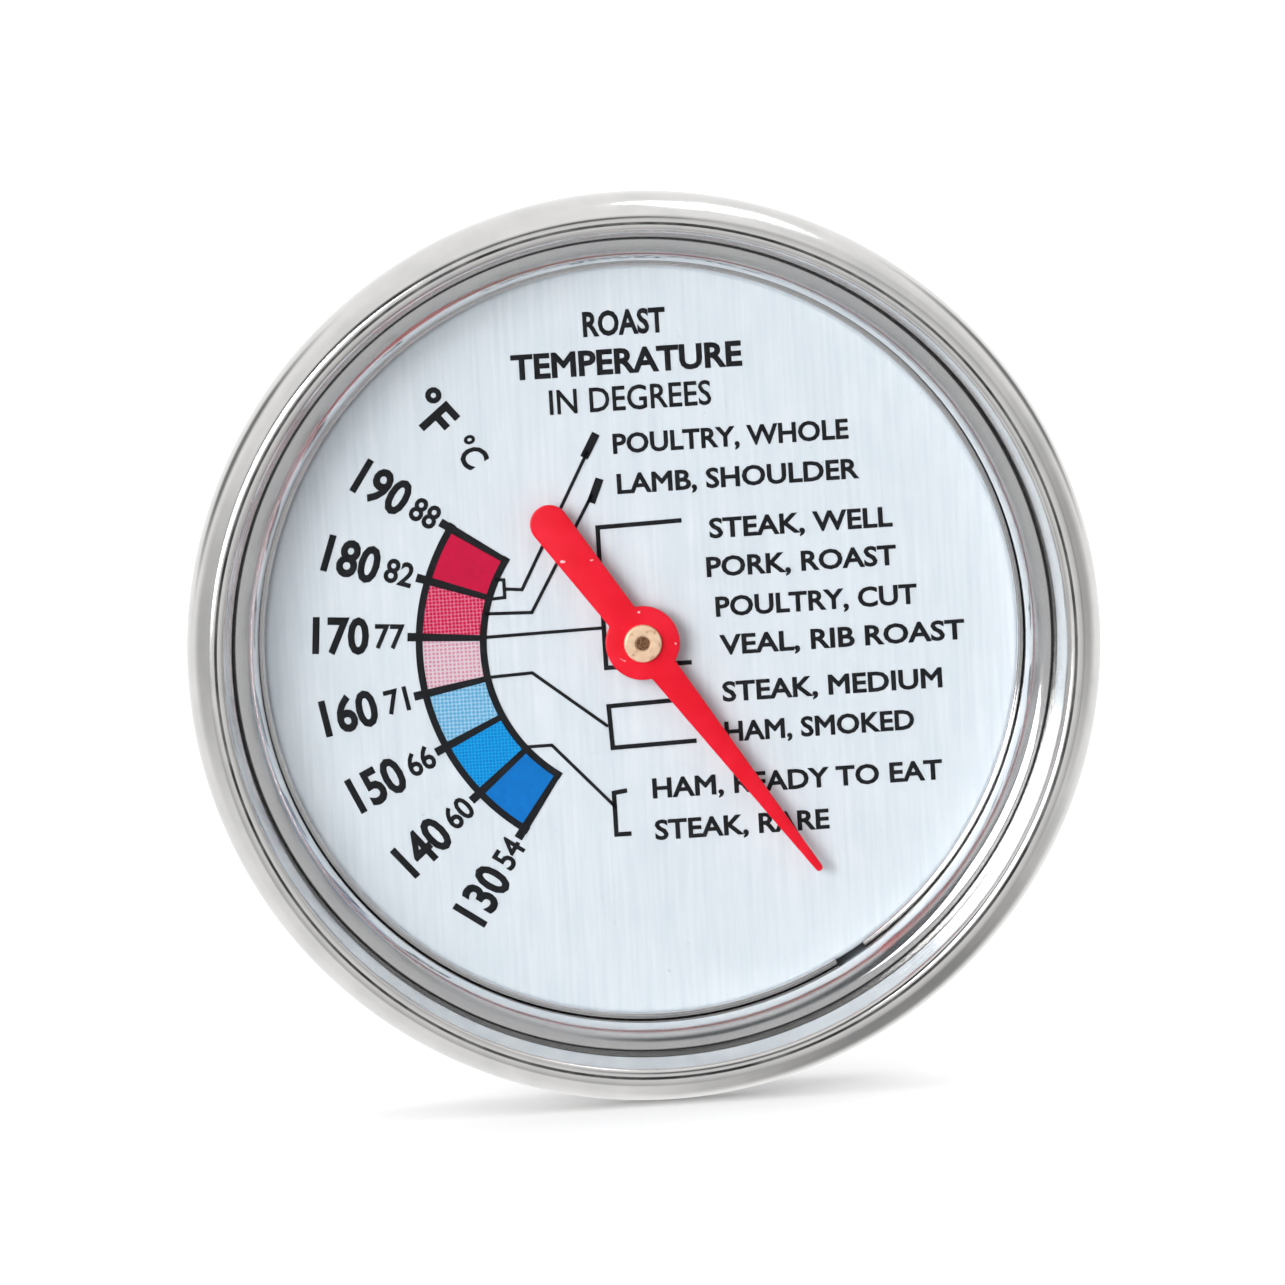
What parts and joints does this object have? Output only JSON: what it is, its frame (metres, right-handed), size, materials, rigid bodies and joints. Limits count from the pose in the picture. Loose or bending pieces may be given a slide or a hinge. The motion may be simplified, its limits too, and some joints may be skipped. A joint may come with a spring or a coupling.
{
  "type": "meat thermometer",
  "caption": "Dial meat thermometer: round steel case with a printed silver dial, red pointer and glass window, on a straight pointed stem that holds a bimetal coil.",
  "frame": {"origin": "on the stem's axis, where the plain tube leaves the braze round its foot behind the case", "axes": "+Y runs along the stem towards its point, so the dial faces -Y; +Z is the dial's top; +X is to the right of someone reading the dial"},
  "size_m": [0.054, 0.1132, 0.054],
  "materials": {
    "polished_steel": "mirror-polished stainless steel sheet",
    "stem_steel": "drawn and ground stainless steel, satin",
    "spindle_steel": "bright drawn wire",
    "bimetal_strip": "rolled bimetal strip",
    "window": "clear, polished",
    "gasket_rubber": "matt black",
    "dial_silver": "pale blue-silver printed sheet with a fine brushed grain",
    "pointer_red": "glossy red",
    "brass": "turned",
    "braze": "rough, heat-stained copper brown",
    "ink_black": "screen-printed ink on the dial",
    "ink_crimson": "screen-printed ink on the dial",
    "ink_pink": "screen-printed ink on the dial",
    "ink_sky": "screen-printed ink on the dial",
    "ink_blue": "screen-printed ink on the dial"
  },
  "bodies": {
    "case": {"case_cup": "polished_steel", "bezel_ring": "polished_steel", "lens": "window", "lens_gasket": "gasket_rubber", "dial_plate": "dial_silver", "dial_retaining_ring": "spindle_steel", "upper_guide_bush": "brass", "middle_guide_bush": "brass", "lower_guide_bush": "brass", "bimetal_helix": "bimetal_strip", "coil_anchor": "brass", "stem_tube": "stem_steel", "stem_tip": "stem_steel", "braze_fillet": "braze"},
    "pointer": {"pointer": "pointer_red", "pointer_bush": "brass", "spindle": "spindle_steel", "coil_top_collar": "brass"}
  },
  "joints": [
    {"name": "pointer_turn", "type": "hinge", "parent": "case", "child": "pointer", "pos_m": [0, 0, 0], "axis": [0, 1, 0], "range_deg": [-75, 173], "stiffness_Nm_per_rad": 0.0007, "deforming": ["bimetal_helix"]}
  ]
}
